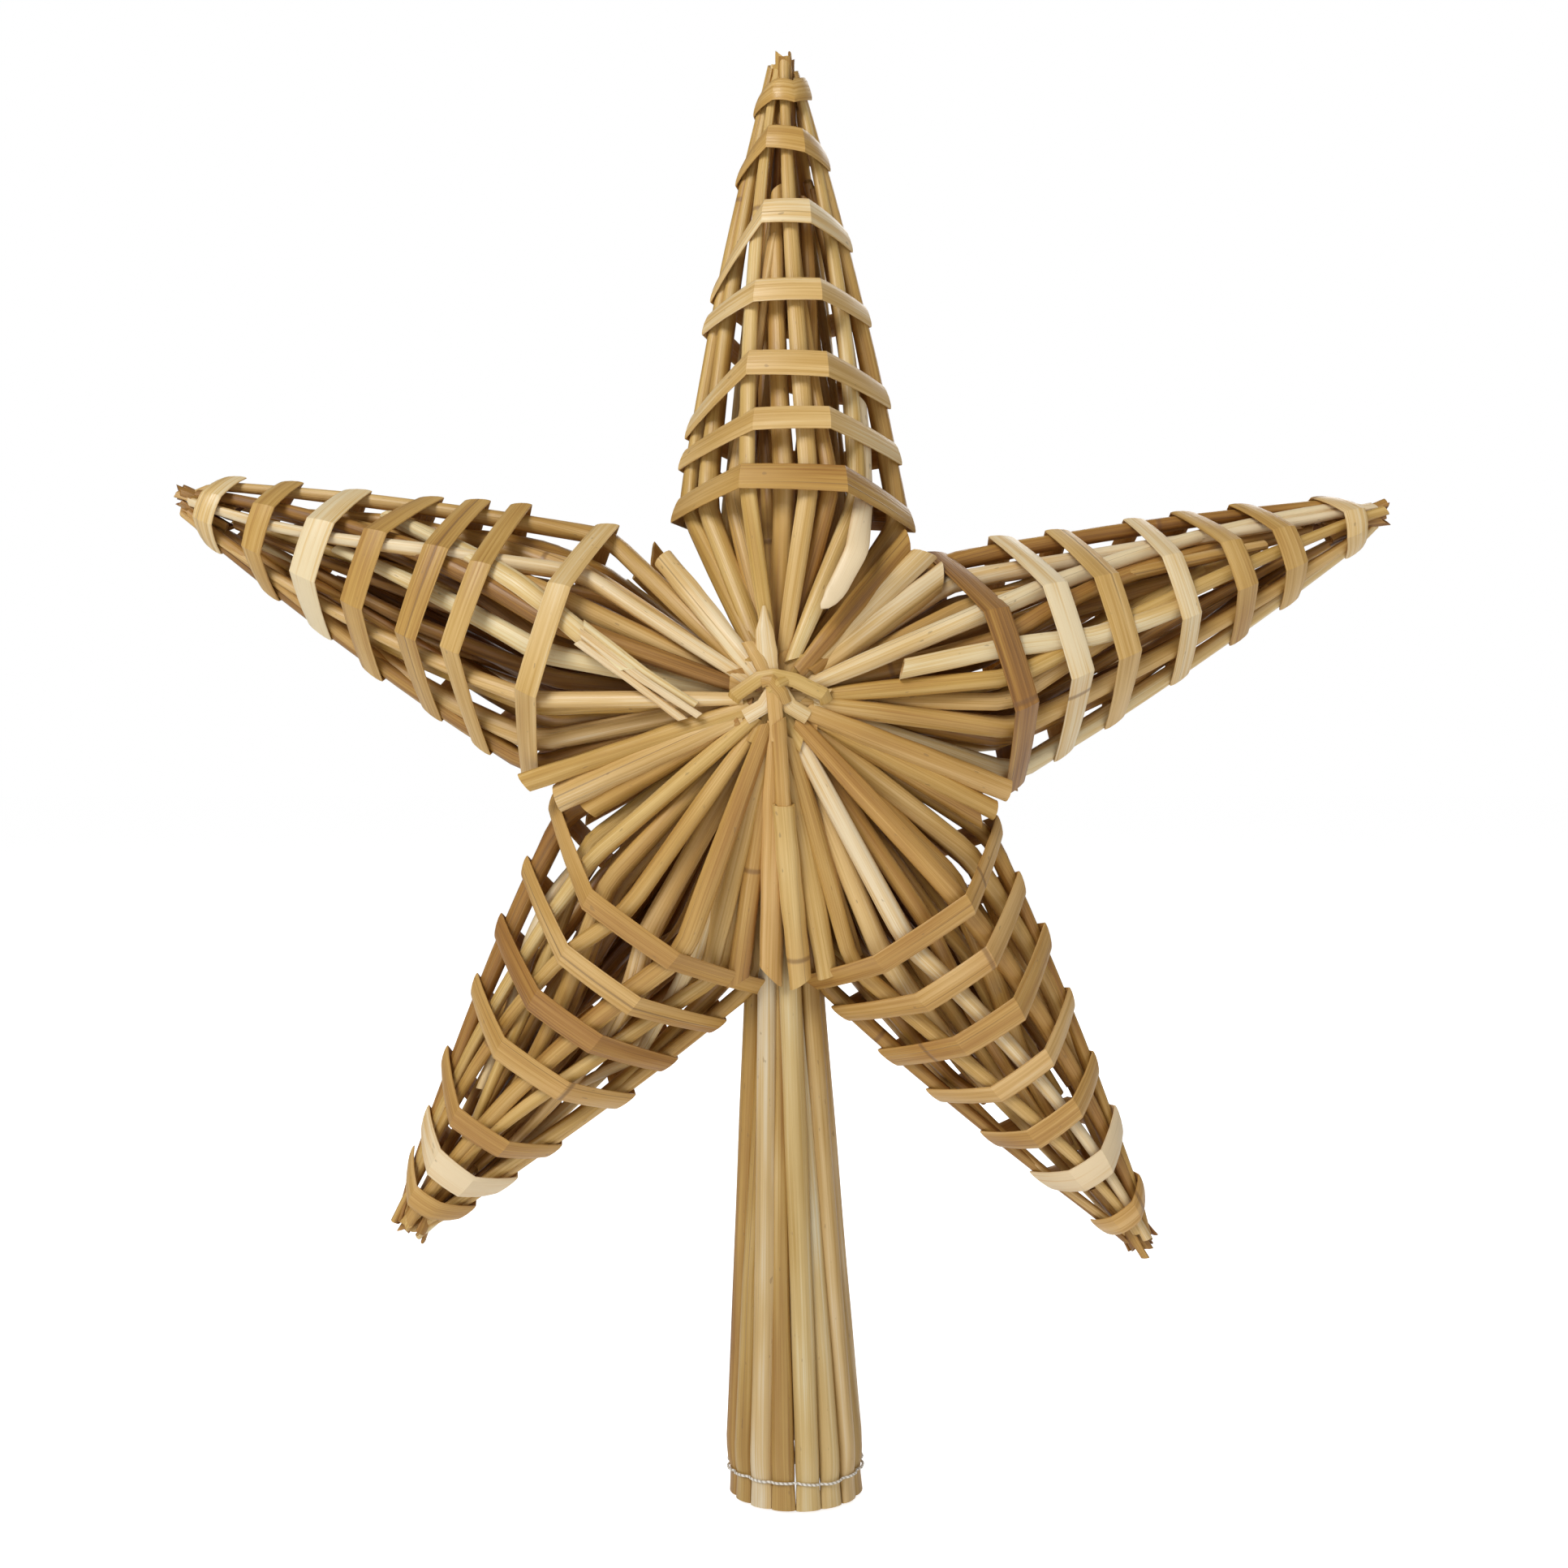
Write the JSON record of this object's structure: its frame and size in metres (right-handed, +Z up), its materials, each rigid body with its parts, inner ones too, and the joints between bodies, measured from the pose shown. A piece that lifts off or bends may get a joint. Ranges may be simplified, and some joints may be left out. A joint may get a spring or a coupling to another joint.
{
  "type": "straw star tree topper",
  "caption": "Woven straw star tree topper: open basketwork arms round a tied hub, on a tapering socket of whole straws.",
  "frame": {"origin": "centre of the socket's open rim, where the star is slipped over the leader of the tree", "axes": "+Z up along the socket to the top arm, front of the star faces -Y, +X to the right seen from the front"},
  "size_m": [0.2309, 0.0509, 0.272],
  "materials": {
    "stalk_straw": "semi-gloss natural straw",
    "winding_strip": "semi-gloss split straw",
    "socket_straw": "semi-gloss natural straw",
    "thread": "matt thread"
  },
  "bodies": {
    "root": {"top_arm_stalk_1": "stalk_straw", "top_arm_stalk_2": "stalk_straw", "top_arm_stalk_3": "stalk_straw", "top_arm_stalk_4": "stalk_straw", "top_arm_stalk_5": "stalk_straw", "top_arm_stalk_6": "stalk_straw", "top_arm_stalk_7": "stalk_straw", "top_arm_winding": "winding_strip", "left_arm_stalk_1": "stalk_straw", "left_arm_stalk_2": "stalk_straw", "left_arm_stalk_3": "stalk_straw", "left_arm_stalk_4": "stalk_straw", "left_arm_stalk_5": "stalk_straw", "left_arm_stalk_6": "stalk_straw", "left_arm_stalk_7": "stalk_straw", "left_arm_winding": "winding_strip", "right_arm_stalk_1": "stalk_straw", "right_arm_stalk_2": "stalk_straw", "right_arm_stalk_3": "stalk_straw", "right_arm_stalk_4": "stalk_straw", "right_arm_stalk_5": "stalk_straw", "right_arm_stalk_6": "stalk_straw", "right_arm_stalk_7": "stalk_straw", "right_arm_winding": "winding_strip", "lower_left_arm_stalk_1": "stalk_straw", "lower_left_arm_stalk_2": "stalk_straw", "lower_left_arm_stalk_3": "stalk_straw", "lower_left_arm_stalk_4": "stalk_straw", "lower_left_arm_stalk_5": "stalk_straw", "lower_left_arm_stalk_6": "stalk_straw", "lower_left_arm_stalk_7": "stalk_straw", "lower_left_arm_winding": "winding_strip", "lower_right_arm_stalk_1": "stalk_straw", "lower_right_arm_stalk_2": "stalk_straw", "lower_right_arm_stalk_3": "stalk_straw", "lower_right_arm_stalk_4": "stalk_straw", "lower_right_arm_stalk_5": "stalk_straw", "lower_right_arm_stalk_6": "stalk_straw", "lower_right_arm_stalk_7": "stalk_straw", "lower_right_arm_winding": "winding_strip", "socket_straw_1": "socket_straw", "socket_straw_2": "socket_straw", "socket_straw_3": "socket_straw", "socket_straw_4": "socket_straw", "socket_straw_5": "socket_straw", "socket_straw_6": "socket_straw", "socket_straw_7": "socket_straw", "socket_straw_8": "socket_straw", "socket_straw_9": "socket_straw", "socket_straw_10": "socket_straw", "socket_straw_11": "socket_straw", "socket_straw_12": "socket_straw", "socket_straw_13": "socket_straw", "socket_straw_14": "socket_straw", "socket_straw_15": "socket_straw", "socket_straw_16": "socket_straw", "socket_thread": "thread", "front_tie": "winding_strip", "back_tie": "winding_strip"}
  },
  "joints": []
}
